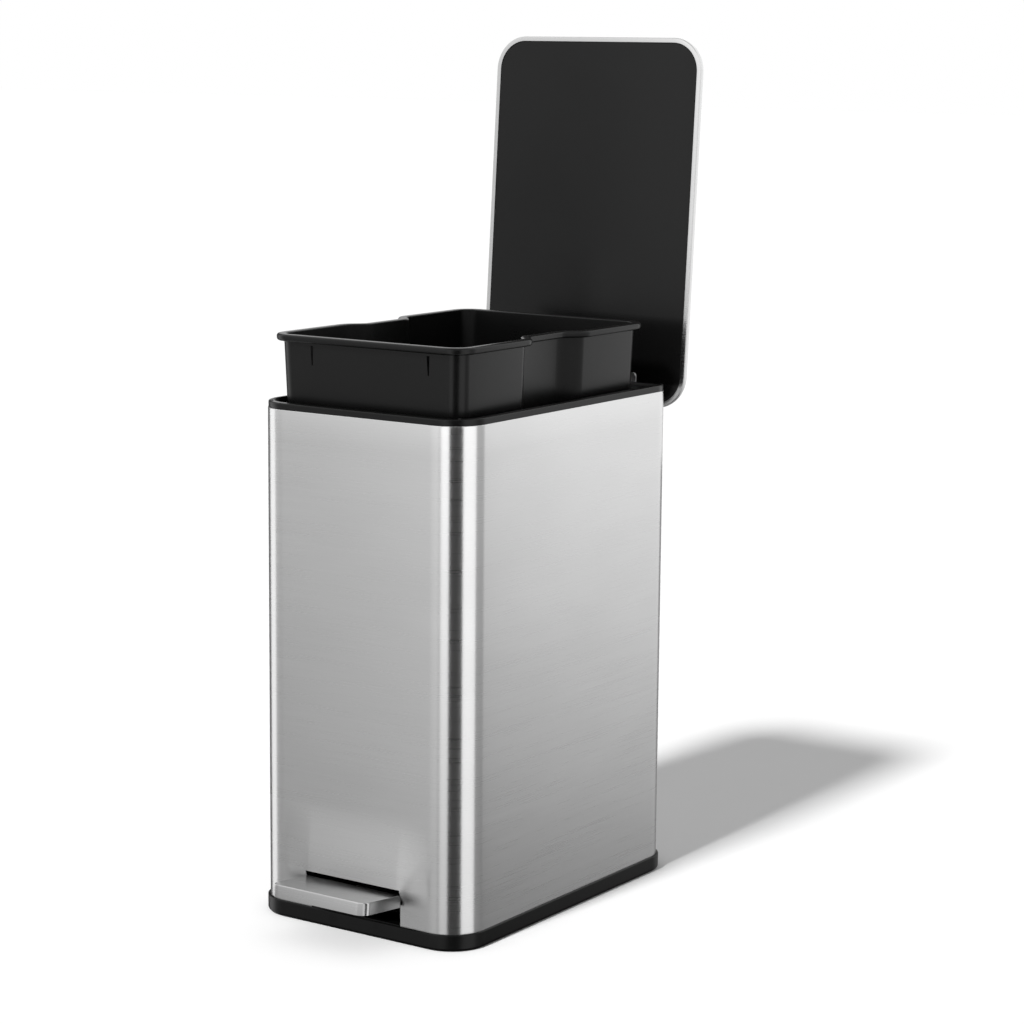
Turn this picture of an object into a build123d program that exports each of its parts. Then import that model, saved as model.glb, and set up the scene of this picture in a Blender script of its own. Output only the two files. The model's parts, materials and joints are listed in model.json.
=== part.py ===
from build123d import *
import math
import os

os.makedirs("parts", exist_ok=True)

# A slim step trash can, in millimetres, with its lid open and its bucket raised.
# Origin: centre of the underside. +X right, -Y front, +Z up.

# Steel body
body_width = 198.0
body_depth = 300.0
body_top = 400.0
body_corner = 29.0
steel_wall = 0.8

# Plinth and base tray
plinth_height = 13.0
plinth_proud = 2.0
plinth_edge = 3.0
base_floor = 4.0
upstand_wall = 2.6
upstand_top = 40.0
seat_gap = 0.2
pad_size = 26.0
pad_depth = 1.5
pad_inset = 30.0

# Collar on the sleeve's top edge
collar_height = 5.0
collar_inset = 0.4
collar_skirt_depth = 22.0
collar_skirt_wall = 2.4
ledge_thickness = 3.0
shelf_thickness = 3.0
shelf_drop = 4.5
shelf_rim_wall = 5.0
back_drop = 2.5
back_drop_length = 9.0
seat_play = 0.3
clip_radius = 3.7
bumper_radius = 1.2
bumper_inset = 2.9

# Inner bucket
bucket_width = 185.0
bucket_depth = 263.0
bucket_front = -143.0
bucket_height = 347.0
bucket_corner = 20.0
bucket_wall = 2.2
bucket_draft = 1.85
bucket_lift = 55.3
rim_height = 6.5
rim_overhang = 5.5
rim_gap = 0.8
rim_below_collar = 4.0
waist_depth = 12.0
waist_length = 41.0
waist_run = 22.0
waist_outer_round = 7.0
waist_inner_round = 9.0
rim_crest_round = 2.6

# Lid and its hinge
lid_width = 199.7
lid_depth = 300.6
lid_corner = 27.3
lid_thickness = 5.0
lid_border = 3.8
lid_edge = 1.6
lid_gap = 0.5
lid_open_angle = 94.0
hinge_y = 142.7
hinge_z = 389.9
hinge_pin_radius = 2.5
hinge_pin_half = 62.0
running_gap = 0.05
knuckle_radius = 5.4
knuckle_width = 5.0
knuckle_spread = 45.0
bracket_thickness = 1.8
bracket_half_width = 54.0
bracket_length = 18.0
lever_radius = 21.0
lever_rise_angle = 34.0
lever_nose = 5.0
lever_half_height = 1.5
lever_width = 4.0
slot_side_gap = 1.6
screw_pitch = 15.0

# Mechanism channel behind the bucket
channel_half_width = 42.0
channel_front = 119.4
channel_wall = 2.0
channel_top = 368.0
channel_bottom = 62.0
channel_foot_width = 10.0
guide_low_z = 120.0
guide_high_z = 346.0
guide_thickness = 6.0
rod_y = 128.3
rod_radius = 3.5
rod_gap = 0.3
rod_head_thickness = 5.0
rod_head_half_width = 6.0
rod_head_front = 123.9
rod_head_back = 132.3
foot_half_length = 6.0
rod_contact_gap = 2.15
damper_x = 26.0
damper_y = 134.0
damper_radius = 8.0
damper_bottom = 200.0
damper_length = 84.0

# Pedal, its axle and its lever
axle_y = -138.0
axle_z = 26.0
axle_radius = 3.0
axle_half = 54.0
pedal_width = 89.5
pedal_back = -152.0
pedal_front = -198.0
pedal_thickness = 10.0
pedal_slope = 5.7
pedal_face_z = 38.6
pedal_corner = 8.0
pedal_skin = 1.0
barrel_radius = 7.0
barrel_half = 36.0
bracket_block = 15.0
lever_half_width = 11.0
lever_wall = 2.0
lever_saddle = 1.0
lever_contact_gap = 0.3
lever_side_gap = 0.3
lever_depth = 8.0
lever_rest_slope = 3.23

# Cut-out and pressed hood in the front of the sleeve
cutout_half_width = 43.0
hood_lip_z = 42.8
hood_proud = 10.0
hood_lip_half = 47.0
hood_foot_half = 66.0
hood_top_z = 66.0
hood_foot_corner = 14.0
hood_lip_corner = 1.5
hood_lip_rise = 2.5
hood_steps = 5

# Values worked out from the sizes above
inner_width = body_width - 2 * steel_wall
inner_depth = body_depth - 2 * steel_wall
inner_corner = body_corner - steel_wall
collar_top = body_top + collar_height
rim_top_seated = collar_top - rim_below_collar
ledge_top = rim_top_seated - rim_height
bucket_y = bucket_front + bucket_depth / 2
bucket_back = bucket_front + bucket_depth
wall_width = bucket_width - 2 * rim_overhang
wall_depth = bucket_depth - 2 * rim_overhang
rim_top = rim_top_seated + seat_play + bucket_lift
bucket_bottom = rim_top - bucket_height
shelf_top = collar_top - shelf_drop
shelf_bottom = shelf_top - shelf_thickness
lid_under = collar_top + lid_gap - hinge_z
lid_middle = -hinge_y
lever_angle = lid_open_angle - lever_rise_angle
nose_z = hinge_z + lever_radius * math.sin(math.radians(lever_rise_angle))
rod_head_top = nose_z - lever_nose - rod_contact_gap
lever_arm = rod_y - axle_y
lever_rear_z = axle_z + lever_arm * math.sin(math.radians(lever_rest_slope))
rod_foot_rise = foot_half_length * math.tan(math.radians(lever_rest_slope))
lever_top = lever_wall + lever_saddle
rod_foot_bottom = lever_rear_z + lever_top + lever_contact_gap + rod_foot_rise


def write(part, name):
    part.label = name
    export_step(part, "parts/" + name + ".step")


# The pressed hood swells out of the front wall in a soft S, drawn as sections from the wall to the lip
def hood_section(share, inside, low):
    spread = math.acos(1 - 2 * share) / math.pi
    half = hood_foot_half + (hood_lip_half - hood_foot_half) * spread - inside
    top = hood_top_z + (hood_lip_z + hood_lip_rise - hood_top_z) * spread - inside
    corner = hood_foot_corner + (hood_lip_corner - hood_foot_corner) * spread
    root = body_depth / 2 - steel_wall - inside
    with BuildSketch(Plane.XZ.offset(root + (hood_proud + steel_wall) * share), mode=Mode.PRIVATE) as section:
        with BuildLine():
            Polyline((-half, low), (-half, top - corner), (-half + corner, top), (half - corner, top),
                     (half, top - corner), (half, low), close=True)
        make_face()
    return section.sketch


# Steel sleeve: a rounded tube with a pressed hood and cut-out in front and a notch for the hinge behind
notch_half_width = hinge_pin_half + 4.0
notch_bottom = hinge_z - 12.0
with BuildPart() as body_shell:
    with BuildSketch(Plane.XY.offset(plinth_height)):
        RectangleRounded(body_width, body_depth, body_corner)
    extrude(amount=body_top - plinth_height)
    for step in range(hood_steps + 1):
        add(hood_section(step / hood_steps, 0.0, hood_lip_z - hood_foot_corner))
    loft(ruled=True)
    with BuildSketch(Plane.XY.offset(plinth_height)):
        RectangleRounded(inner_width, inner_depth, inner_corner)
    extrude(amount=body_top - plinth_height, mode=Mode.SUBTRACT)
    for step in range(hood_steps + 1):
        add(hood_section(step / hood_steps, steel_wall, hood_lip_z))
    loft(ruled=True, mode=Mode.SUBTRACT)
    with BuildSketch(Plane.XZ.offset(body_depth / 2 - 3 * steel_wall)):
        with Locations((0, (plinth_height + hood_lip_z) / 2)):
            Rectangle(2 * cutout_half_width, hood_lip_z - plinth_height)
    extrude(amount=3 * steel_wall + hood_proud, mode=Mode.SUBTRACT)
    with BuildSketch(Plane.XZ.offset(body_depth / 2)):
        with Locations((0, hood_lip_z - hood_foot_corner / 2)):
            Rectangle(2 * hood_foot_half + 2, hood_foot_corner)
    extrude(amount=hood_proud + steel_wall, mode=Mode.SUBTRACT)
    with BuildSketch(Plane.XZ.offset(-body_depth / 2 - 1)):
        with Locations((0, (notch_bottom + body_top + 1) / 2)):
            Rectangle(2 * notch_half_width, body_top + 1 - notch_bottom)
    extrude(amount=3 * steel_wall, mode=Mode.SUBTRACT)
write(body_shell.part, "body_shell")

# Base: plinth outside the sleeve, floor tray, and an upstand that the sleeve is pushed over
upstand_width = inner_width - 2 * seat_gap
upstand_depth = inner_depth - 2 * seat_gap
upstand_corner = inner_corner - seat_gap
pad_x = body_width / 2 - pad_inset
pad_y = body_depth / 2 - pad_inset
screw_radius = 1.8
screw_head_radius = 3.6
screw_head_depth = 2.2
screw_length = 14.0
bracket_x = barrel_half + 3.0 + bracket_block / 2
foot_x = channel_half_width - channel_foot_width / 2
foot_y = (channel_front + inner_depth / 2) / 2
screw_points = [(-bracket_x, axle_y), (bracket_x, axle_y), (-foot_x, foot_y), (foot_x, foot_y)]
with BuildPart() as base:
    with BuildSketch():
        RectangleRounded(body_width + 2 * plinth_proud, body_depth + 2 * plinth_proud,
                         body_corner + plinth_proud)
    extrude(amount=plinth_height)
    fillet(base.faces().sort_by(Axis.Z)[0].edges(), radius=plinth_edge)
    chamfer(base.faces().sort_by(Axis.Z)[-1].edges(), length=0.8)
    with BuildSketch(Plane.XY.offset(base_floor)):
        RectangleRounded(upstand_width, upstand_depth, upstand_corner)
    extrude(amount=upstand_top - base_floor)
    with BuildSketch(Plane.XY.offset(base_floor)):
        RectangleRounded(upstand_width - 2 * upstand_wall, upstand_depth - 2 * upstand_wall,
                         upstand_corner - upstand_wall)
    extrude(amount=upstand_top, mode=Mode.SUBTRACT)
    with BuildSketch(Plane.XZ.offset(body_depth / 2 - 5)):
        with Locations((0, (plinth_height + upstand_top) / 2 + 1)):
            Rectangle(2 * cutout_half_width, upstand_top - plinth_height + 2)
    extrude(amount=10, mode=Mode.SUBTRACT)
    with Locations((0, 0, 0)):
        with GridLocations(2 * pad_x, 2 * pad_y, 2, 2):
            Cylinder(pad_size / 2, pad_depth, align=(Align.CENTER, Align.CENTER, Align.MIN),
                     mode=Mode.SUBTRACT)
    for point in screw_points:
        with Locations((point[0], point[1], 0)):
            Cylinder(screw_radius + running_gap, base_floor, mode=Mode.SUBTRACT,
                     align=(Align.CENTER, Align.CENTER, Align.MIN))
            Cylinder(screw_head_radius + running_gap, screw_head_depth, mode=Mode.SUBTRACT,
                     align=(Align.CENTER, Align.CENTER, Align.MIN))
write(base.part, "base")

# Rubber pads, flush with the underside
with BuildPart() as base_pads:
    with GridLocations(2 * pad_x, 2 * pad_y, 2, 2):
        Cylinder(pad_size / 2 - running_gap, pad_depth, align=(Align.CENTER, Align.CENTER, Align.MIN))
write(base_pads.part, "base_pads")

# Screws from below into the pedal brackets and the feet of the channel
with BuildPart() as base_screws:
    for point in screw_points:
        with Locations((point[0], point[1], 0)):
            Cylinder(screw_radius, screw_length, align=(Align.CENTER, Align.CENTER, Align.MIN))
            Cylinder(screw_head_radius, screw_head_depth, align=(Align.CENTER, Align.CENTER, Align.MIN))
            Cylinder(1.2, 1.2, align=(Align.CENTER, Align.CENTER, Align.MIN), mode=Mode.SUBTRACT)
write(base_screws.part, "base_screws")

# Collar: ring on the sleeve's edge, skirt inside it, ledge for the bucket's rim and a shelf behind
skirt_width = inner_width - 2 * seat_gap
skirt_depth = inner_depth - 2 * seat_gap
skirt_corner = inner_corner - seat_gap
skirt_bottom = body_top - collar_skirt_depth
ledge_bottom = ledge_top - ledge_thickness
boss_width = 6.0
hollow_half_width = hinge_pin_half + 2.0
hollow_start = bucket_back + rim_gap + 2.5
boss_xs = (-knuckle_spread - 9.0, -knuckle_spread + 9.0, knuckle_spread - 9.0, knuckle_spread + 9.0)
with BuildPart() as top_collar:
    with BuildSketch(Plane.XY.offset(skirt_bottom)):
        RectangleRounded(skirt_width, skirt_depth, skirt_corner)
    extrude(amount=body_top - skirt_bottom)
    with BuildSketch(Plane.XY.offset(body_top)):
        RectangleRounded(body_width - 2 * collar_inset, body_depth - 2 * collar_inset,
                         body_corner - collar_inset)
    extrude(amount=collar_height)
    fillet(top_collar.faces().sort_by(Axis.Z)[-1].edges(), radius=1.2)
    # hollow under the ledge
    with BuildSketch(Plane.XY.offset(skirt_bottom)):
        RectangleRounded(skirt_width - 2 * collar_skirt_wall, skirt_depth - 2 * collar_skirt_wall,
                         skirt_corner - collar_skirt_wall)
    extrude(amount=ledge_bottom - skirt_bottom, mode=Mode.SUBTRACT)
    # room for the rim and the opening for the bucket's walls
    with BuildSketch(Plane.XY.offset(ledge_top)):
        with Locations((0, bucket_y)):
            RectangleRounded(bucket_width + 2 * rim_gap, bucket_depth + 2 * rim_gap,
                             bucket_corner + rim_gap)
    extrude(amount=collar_top - ledge_top, mode=Mode.SUBTRACT)
    with BuildSketch(Plane.XY.offset(ledge_bottom)):
        with Locations((0, bucket_y)):
            RectangleRounded(wall_width + 2 * rim_gap, wall_depth + 2 * rim_gap,
                             bucket_corner - rim_overhang + rim_gap)
    extrude(amount=ledge_top - ledge_bottom, mode=Mode.SUBTRACT)
    # the rear shelf lies lower than the ring
    shelf_start = bucket_back + rim_gap
    shelf_end = body_depth / 2 - shelf_rim_wall
    with BuildSketch(Plane.XY.offset(shelf_top)):
        with Locations((0, (shelf_start + shelf_end) / 2 - 4)):
            RectangleRounded(body_width - 2 * shelf_rim_wall - 2, shelf_end - shelf_start + 8, 8)
    extrude(amount=collar_top - shelf_top, mode=Mode.SUBTRACT)
    # the back edge lies lower where the lid's edge and its bracket swing past
    with BuildSketch(Plane.XY.offset(collar_top - back_drop)):
        with Locations((0, body_depth / 2 - back_drop_length / 2 + 1)):
            Rectangle(body_width, back_drop_length + 2)
    extrude(amount=back_drop, mode=Mode.SUBTRACT)
    with BuildSketch(Plane.XY.offset(shelf_top)):
        with Locations((0, body_depth / 2 - back_drop_length / 2 + 1)):
            Rectangle(2 * bracket_half_width + 6, back_drop_length + 2)
    extrude(amount=collar_height, mode=Mode.SUBTRACT)
    # clear the hollow under the shelf
    with BuildSketch(Plane.XY.offset(skirt_bottom)):
        with Locations((0, (hollow_start + skirt_depth / 2 - collar_skirt_wall) / 2)):
            Rectangle(2 * hollow_half_width, skirt_depth / 2 - collar_skirt_wall - hollow_start)
    extrude(amount=shelf_bottom - skirt_bottom, mode=Mode.SUBTRACT)
    # apron that fills the hinge notch of the sleeve
    with BuildSketch(Plane.XY.offset(notch_bottom + 0.3)):
        with Locations((0, body_depth / 2 - 1.3)):
            Rectangle(2 * notch_half_width - 0.6, 1.9)
    extrude(amount=body_top - notch_bottom - 0.3)
    # bosses that carry the hinge pin
    for x in boss_xs:
        with BuildSketch(Plane.YZ.offset(x - boss_width / 2)):
            with Locations((hinge_y, hinge_z)):
                Circle(6.0)
            with Locations((hinge_y + 2.5, (hinge_z + shelf_bottom) / 2 + 1)):
                Rectangle(9.0, shelf_bottom - hinge_z + 2)
        extrude(amount=boss_width)
    with BuildSketch(Plane.YZ.offset(-hinge_pin_half)):
        with Locations((hinge_y, hinge_z)):
            Circle(hinge_pin_radius + running_gap)
    extrude(amount=2 * hinge_pin_half, mode=Mode.SUBTRACT)
    # slots for the lid's knuckles and for its lever, open to the back
    for x in (-knuckle_spread, knuckle_spread):
        with BuildSketch(Plane.XY.offset(hinge_z - knuckle_radius - 1.2)):
            with Locations((x, hinge_y + 3)):
                Rectangle(knuckle_width + 2 * slot_side_gap, 2 * (knuckle_radius + 4.0) + 6)
        extrude(amount=collar_top, mode=Mode.SUBTRACT)
    with BuildSketch(Plane.XY.offset(hinge_z - knuckle_radius - 1.2)):
        with Locations((0, hinge_y - 9)):
            Rectangle(lever_width + 2 * slot_side_gap, 2 * (lever_radius + 4))
    extrude(amount=collar_top, mode=Mode.SUBTRACT)
write(top_collar.part, "top_collar")

# Rubber buttons that the closed lid meets, on the collar's two front corners
bumper_reach = (body_corner - bumper_inset) * math.sqrt(0.5)
bumper_x = body_width / 2 - body_corner + bumper_reach
bumper_y = -body_depth / 2 + body_corner - bumper_reach
with BuildPart() as lid_bumpers:
    with Locations((-bumper_x, bumper_y, collar_top), (bumper_x, bumper_y, collar_top)):
        Cylinder(bumper_radius, lid_gap - seat_gap, align=(Align.CENTER, Align.CENTER, Align.MIN))
write(lid_bumpers.part, "lid_bumpers")

# Hinge pin and the rings on its ends
with BuildPart() as hinge_pin:
    with BuildSketch(Plane.YZ.offset(-hinge_pin_half)):
        with Locations((hinge_y, hinge_z)):
            Circle(hinge_pin_radius)
    extrude(amount=2 * hinge_pin_half)
    chamfer(hinge_pin.edges().filter_by(GeomType.CIRCLE), length=0.5)
write(hinge_pin.part, "hinge_pin")

with BuildPart() as hinge_clips:
    for x in (-hinge_pin_half + 1.4, hinge_pin_half - 2.6):
        with BuildSketch(Plane.YZ.offset(x)):
            with Locations((hinge_y, hinge_z)):
                Circle(clip_radius)
                Circle(hinge_pin_radius + running_gap, mode=Mode.SUBTRACT)
        extrude(amount=1.2)
write(hinge_clips.part, "hinge_clips")

# Lid, laid out on the plane of the open lid: local +Y runs towards the back edge, local +Z outwards
open_turn = math.radians(lid_open_angle)
lid_plane = Plane(origin=(0, hinge_y, hinge_z), x_dir=(1, 0, 0),
                  z_dir=(0, math.sin(open_turn), math.cos(open_turn)))
with BuildPart() as lid_cover:
    with BuildSketch(lid_plane.offset(lid_under)):
        with Locations((0, lid_middle)):
            RectangleRounded(lid_width, lid_depth, lid_corner)
    extrude(amount=lid_thickness)
    outer_ring = lid_cover.faces().sort_by(Axis(lid_plane.origin, lid_plane.z_dir))[-1]
    fillet(outer_ring.edges(), radius=lid_edge)
    inner_ring = lid_cover.faces().sort_by(Axis(lid_plane.origin, lid_plane.z_dir))[0]
    fillet(inner_ring.edges(), radius=lid_edge / 2)
    with BuildSketch(lid_plane.offset(lid_under)):
        with Locations((0, lid_middle)):
            RectangleRounded(lid_width - 2 * lid_border, lid_depth - 2 * lid_border,
                             lid_corner - lid_border)
    extrude(amount=lid_thickness - steel_wall, mode=Mode.SUBTRACT)
write(lid_cover.part, "lid_cover")

panel_recess = 0.4
with BuildPart() as lid_inner_panel:
    with BuildSketch(lid_plane.offset(lid_under + panel_recess)):
        with Locations((0, lid_middle)):
            RectangleRounded(lid_width - 2 * lid_border - 2 * seat_gap,
                             lid_depth - 2 * lid_border - 2 * seat_gap,
                             lid_corner - lid_border - seat_gap)
    extrude(amount=lid_thickness - steel_wall - panel_recess)
    panel_face = lid_inner_panel.faces().sort_by(Axis(lid_plane.origin, lid_plane.z_dir))[0]
    fillet(panel_face.edges(), radius=0.8)
write(lid_inner_panel.part, "lid_inner_panel")

# Hinge bracket: a plate under the panel, two knuckles, and the lever in the middle
panel_under = lid_under + panel_recess
plate_back = -2.0
plate_middle = plate_back - bracket_length / 2
side_plane = Plane(origin=lid_plane.origin, x_dir=lid_plane.y_dir, z_dir=(1, 0, 0))
with BuildPart() as lid_hinge_bracket:
    with BuildSketch(lid_plane.offset(panel_under - bracket_thickness)):
        with Locations((0, plate_middle)):
            RectangleRounded(2 * bracket_half_width, bracket_length, 3)
    extrude(amount=bracket_thickness)
    for x in (-knuckle_spread, 0.0, knuckle_spread):
        width = lever_width if x == 0.0 else knuckle_width
        with BuildSketch(side_plane.offset(x - width / 2)):
            with BuildLine():
                Polyline((-knuckle_radius, 0), (-bracket_length / 2 - 2, panel_under - 0.5),
                         (plate_back, panel_under - 0.5), (knuckle_radius, 0), close=True)
            make_face()
            Circle(knuckle_radius)
        extrude(amount=width)
    with BuildSketch(side_plane.offset(-lever_width / 2)):
        with Locations(Location((0, 0), 180 + lever_angle)):
            with Locations((lever_radius / 2, 0)):
                Rectangle(lever_radius, 2 * lever_half_height)
            with Locations((lever_radius, 0)):
                Circle(lever_nose)
    extrude(amount=lever_width)
    with BuildSketch(side_plane.offset(-hinge_pin_half)):
        Circle(hinge_pin_radius + running_gap)
    extrude(amount=2 * hinge_pin_half, mode=Mode.SUBTRACT)
write(lid_hinge_bracket.part, "lid_hinge_bracket")

with BuildPart() as lid_bracket_screws:
    for x in (-2 * screw_pitch, -screw_pitch, screw_pitch, 2 * screw_pitch):
        with BuildSketch(lid_plane.offset(panel_under - bracket_thickness - 1.6)):
            with Locations((x, plate_middle)):
                Circle(3.0)
        extrude(amount=1.6)
    chamfer(lid_bracket_screws.faces().filter_by(GeomType.PLANE).sort_by(
        Axis(lid_plane.origin, lid_plane.z_dir))[0:4].edges(), length=0.6)
write(lid_bracket_screws.part, "lid_bracket_screws")

# Channel behind the bucket: front wall, two side walls, and feet on the floor tray
channel_back = inner_depth / 2 - seat_gap
with BuildPart() as rear_channel:
    with BuildSketch(Plane.XY.offset(channel_bottom)):
        with Locations((0, (channel_front + channel_back) / 2)):
            Rectangle(2 * channel_half_width, channel_back - channel_front)
    extrude(amount=channel_top - channel_bottom)
    fillet(rear_channel.edges().filter_by(Axis.Z).group_by(Axis.Y)[0], radius=3)
    with BuildSketch(Plane.XY.offset(channel_bottom)):
        with Locations((0, (channel_front + channel_wall + channel_back + 1) / 2)):
            Rectangle(2 * (channel_half_width - channel_wall),
                      channel_back + 1 - channel_front - channel_wall)
    extrude(amount=channel_top - channel_bottom, mode=Mode.SUBTRACT)
    for x in (-foot_x, foot_x):
        with BuildSketch(Plane.XY.offset(base_floor)):
            with Locations((x, (channel_front + channel_back) / 2 - upstand_wall / 2 - 0.1)):
                Rectangle(channel_foot_width, channel_back - channel_front - upstand_wall - 0.2)
        extrude(amount=channel_bottom - base_floor)
    for x in (-foot_x, foot_x):
        with Locations((x, foot_y, base_floor)):
            Cylinder(screw_radius + running_gap, screw_length, mode=Mode.SUBTRACT,
                     align=(Align.CENTER, Align.CENTER, Align.MIN))
write(rear_channel.part, "rear_channel")

with BuildPart() as rod_guides:
    for z in (guide_low_z, guide_high_z):
        with BuildSketch(Plane.XY.offset(z)):
            with Locations((0, (channel_front + channel_wall + channel_back) / 2)):
                Rectangle(2 * (channel_half_width - channel_wall) - 0.1,
                          channel_back - channel_front - channel_wall)
            with Locations((0, rod_y)):
                Circle(rod_radius + rod_gap, mode=Mode.SUBTRACT)
            with Locations((damper_x, damper_y)):
                Circle(damper_radius + 1, mode=Mode.SUBTRACT)
        extrude(amount=guide_thickness)
write(rod_guides.part, "rod_guides")

# Air damper beside the rod, standing on a shelf of the channel
damper_top = damper_bottom + damper_length
piston_radius = 3.0
piston_head_radius = damper_radius - 1.5 - rod_gap
with BuildPart() as damper_cylinder:
    with Locations((damper_x, damper_y, damper_bottom)):
        Cylinder(damper_radius, damper_length, align=(Align.CENTER, Align.CENTER, Align.MIN))
    with Locations((damper_x, damper_y, damper_bottom + 3)):
        Cylinder(damper_radius - 1.5, damper_length - 6, mode=Mode.SUBTRACT,
                 align=(Align.CENTER, Align.CENTER, Align.MIN))
    with Locations((damper_x, damper_y, damper_bottom + 3)):
        Cylinder(piston_radius + rod_gap, damper_length, mode=Mode.SUBTRACT,
                 align=(Align.CENTER, Align.CENTER, Align.MIN))
    with BuildSketch(Plane.XY.offset(damper_bottom)):
        with Locations((damper_x, (channel_front + channel_wall + channel_back) / 2)):
            Rectangle(2 * damper_radius + 6, channel_back - channel_front - channel_wall)
    extrude(amount=3)
write(damper_cylinder.part, "damper_cylinder")

arm_z = damper_top + 34.0
arm_thickness = 6.0
with BuildPart() as damper_piston:
    with Locations((damper_x, damper_y, damper_top - 14)):
        Cylinder(piston_head_radius, 5, align=(Align.CENTER, Align.CENTER, Align.MIN))
        Cylinder(piston_radius, arm_z - damper_top + 14, align=(Align.CENTER, Align.CENTER, Align.MIN))
write(damper_piston.part, "damper_piston")

with BuildPart() as damper_arm:
    with BuildSketch(Plane.XY.offset(arm_z)):
        with Locations((0, rod_y)):
            Circle(rod_radius + 3)
        with Locations((damper_x, damper_y)):
            Circle(piston_radius + 3)
        with Locations((damper_x / 2, (rod_y + damper_y) / 2)):
            Rectangle(damper_x, 6)
        with Locations((0, rod_y)):
            Circle(rod_radius + running_gap, mode=Mode.SUBTRACT)
    extrude(amount=arm_thickness)
write(damper_arm.part, "damper_arm")

# Push rod with its head under the lid's lever and its shoe on the pedal lever
head_bottom = rod_head_top - rod_head_thickness
foot_height = 12.0
with BuildPart() as push_rod:
    with Locations((0, rod_y, rod_foot_bottom + 4)):
        Cylinder(rod_radius, head_bottom + 2 - rod_foot_bottom - 4,
                 align=(Align.CENTER, Align.CENTER, Align.MIN))
write(push_rod.part, "push_rod")

with BuildPart() as rod_head:
    with BuildSketch(Plane.XY.offset(head_bottom)):
        with Locations((0, (rod_head_front + rod_head_back) / 2)):
            RectangleRounded(2 * rod_head_half_width, rod_head_back - rod_head_front, 2)
    extrude(amount=rod_head_thickness)
    fillet(rod_head.faces().sort_by(Axis.Z)[-1].edges(), radius=0.8)
    with Locations((0, rod_y, head_bottom)):
        Cylinder(rod_radius + 1, 6, align=(Align.CENTER, Align.CENTER, Align.MAX))
        Cylinder(rod_radius + running_gap, 8, align=(Align.CENTER, Align.CENTER, Align.CENTER),
                 mode=Mode.SUBTRACT)
    with Locations((0, rod_y, head_bottom)):
        Cylinder(rod_radius + running_gap, 6, align=(Align.CENTER, Align.CENTER, Align.MAX),
                 mode=Mode.SUBTRACT)
write(rod_head.part, "rod_head")

with BuildPart() as rod_foot:
    with BuildSketch(Plane.XZ.offset(-rod_y - foot_half_length)):
        with Locations((0, rod_foot_bottom + foot_height / 2)):
            RectangleRounded(16, foot_height, 2)
    extrude(amount=2 * foot_half_length)
    with Locations((0, rod_y, rod_foot_bottom + 4 - running_gap)):
        Cylinder(rod_radius + running_gap, foot_height, mode=Mode.SUBTRACT,
                 align=(Align.CENTER, Align.CENTER, Align.MIN))
write(rod_foot.part, "rod_foot")

# Pedal axle in two blocks on the floor tray
with BuildPart() as pedal_axle:
    with BuildSketch(Plane.YZ.offset(-axle_half)):
        with Locations((axle_y, axle_z)):
            Circle(axle_radius)
    extrude(amount=2 * axle_half)
    chamfer(pedal_axle.edges().filter_by(GeomType.CIRCLE), length=0.6)
write(pedal_axle.part, "pedal_axle")

with BuildPart() as pedal_brackets:
    for x in (-bracket_x, bracket_x):
        with BuildSketch(Plane.YZ.offset(x - bracket_block / 2)):
            with Locations((axle_y, (base_floor + axle_z) / 2)):
                Rectangle(bracket_block, axle_z - base_floor)
            with Locations((axle_y, axle_z)):
                Circle(bracket_block / 2)
            with Locations((axle_y, axle_z)):
                Circle(axle_radius + running_gap, mode=Mode.SUBTRACT)
        extrude(amount=bracket_block)
        with Locations((x, axle_y, base_floor)):
            Cylinder(screw_radius + running_gap, screw_length - base_floor + 1, mode=Mode.SUBTRACT,
                     align=(Align.CENTER, Align.CENTER, Align.MIN))
write(pedal_brackets.part, "pedal_brackets")

# Pedal, laid out on the plane of its tread: local -Y runs towards the user
slope = math.radians(pedal_slope)
tread_z = pedal_face_z - (pedal_back + body_depth / 2) * math.tan(slope)
pedal_plane = Plane(origin=(0, pedal_back, tread_z), x_dir=(1, 0, 0),
                    z_dir=(0, math.sin(slope), math.cos(slope)))
pedal_length = (pedal_back - pedal_front) / math.cos(slope)
with BuildPart() as pedal_plate:
    with BuildSketch(pedal_plane):
        with Locations((0, -pedal_length / 2)):
            Rectangle(pedal_width, pedal_length)
    extrude(amount=-pedal_thickness)
    upright = Axis(pedal_plane.origin, pedal_plane.z_dir)
    fillet(pedal_plate.edges().filter_by(upright).group_by(Axis.Y)[0], radius=pedal_corner)
    fillet(pedal_plate.faces().sort_by(upright)[-1].edges().sort_by(Axis.Y)[:-1], radius=1.4)
    with BuildSketch(pedal_plane.offset(-pedal_thickness)):
        with BuildLine():
            Polyline((-pedal_width / 2 + pedal_skin, 1), (-pedal_width / 2 + pedal_skin, -pedal_length + 12),
                     (-pedal_width / 2 + 12, -pedal_length + pedal_skin),
                     (pedal_width / 2 - 12, -pedal_length + pedal_skin),
                     (pedal_width / 2 - pedal_skin, -pedal_length + 12), (pedal_width / 2 - pedal_skin, 1),
                     close=True)
        make_face()
    extrude(amount=pedal_thickness - pedal_skin, mode=Mode.SUBTRACT)
write(pedal_plate.part, "pedal_plate")

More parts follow.
